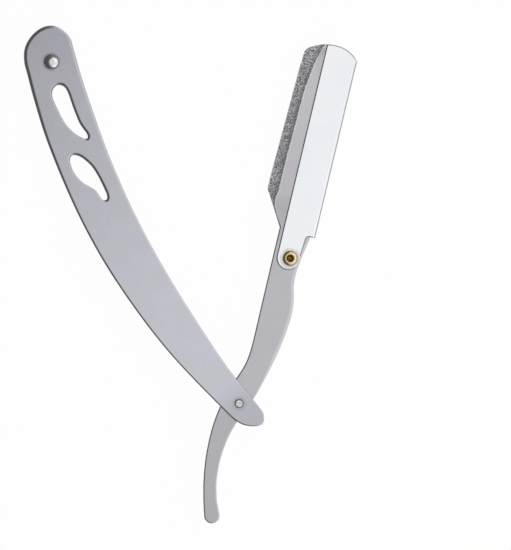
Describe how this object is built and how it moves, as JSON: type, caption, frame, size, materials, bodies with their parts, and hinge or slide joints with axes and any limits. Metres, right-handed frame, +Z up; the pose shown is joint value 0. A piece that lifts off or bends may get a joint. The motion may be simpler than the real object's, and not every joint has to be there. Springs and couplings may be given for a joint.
{
  "type": "replaceable blade straight razor",
  "caption": "Folding straight razor with a two-scale steel handle, a curved arm, a swinging blade cover on a hollow brass rivet and a replaceable half blade.",
  "frame": {"origin": "on the handle pivot's axis, at the flat foot of the pivot rivet's lower head", "axes": "+Y along the handle from the pivot to the end rivet, +Z up through the front scale, +X towards the side that the arm opens to"},
  "size_m": [0.1089, 0.1591, 0.0067],
  "materials": {
    "satin_steel": "satin",
    "arm_steel": "brushed",
    "bright_steel": "polished",
    "blade_steel": "ground and polished",
    "polished_steel": "mirror polished",
    "brass": "polished",
    "nickel_washer": "satin nickel"
  },
  "bodies": {
    "handle": {"front_scale": "satin_steel", "back_scale": "satin_steel", "end_spacer": "bright_steel", "end_rivet": "bright_steel", "pivot_rivet": "bright_steel", "pivot_washer_front": "bright_steel", "pivot_washer_back": "bright_steel"},
    "arm": {"blade_arm": "arm_steel", "blade_pin_lower": "bright_steel", "blade_pin_upper": "bright_steel", "cover_rivet": "brass", "cover_washer_front": "nickel_washer", "cover_washer_back": "nickel_washer"},
    "cover": {"swing_cover": "polished_steel"},
    "blade": {"half_blade": "blade_steel"}
  },
  "joints": [
    {"name": "handle_pivot", "type": "hinge", "parent": "handle", "child": "arm", "pos_m": [0, 0, 0.00334], "axis": [0, 0, 1], "range_deg": [-290, 44]},
    {"name": "cover_swing", "type": "hinge", "parent": "arm", "child": "cover", "pos_m": [0.03523, 0.03156, 0.00334], "axis": [0, 0, 1], "range_deg": [-120, 0]},
    {"name": "blade_slide", "type": "slide", "parent": "arm", "child": "blade", "axis": [-0.7224, 0.6915, 0], "range_m": [0, 0.015]}
  ]
}
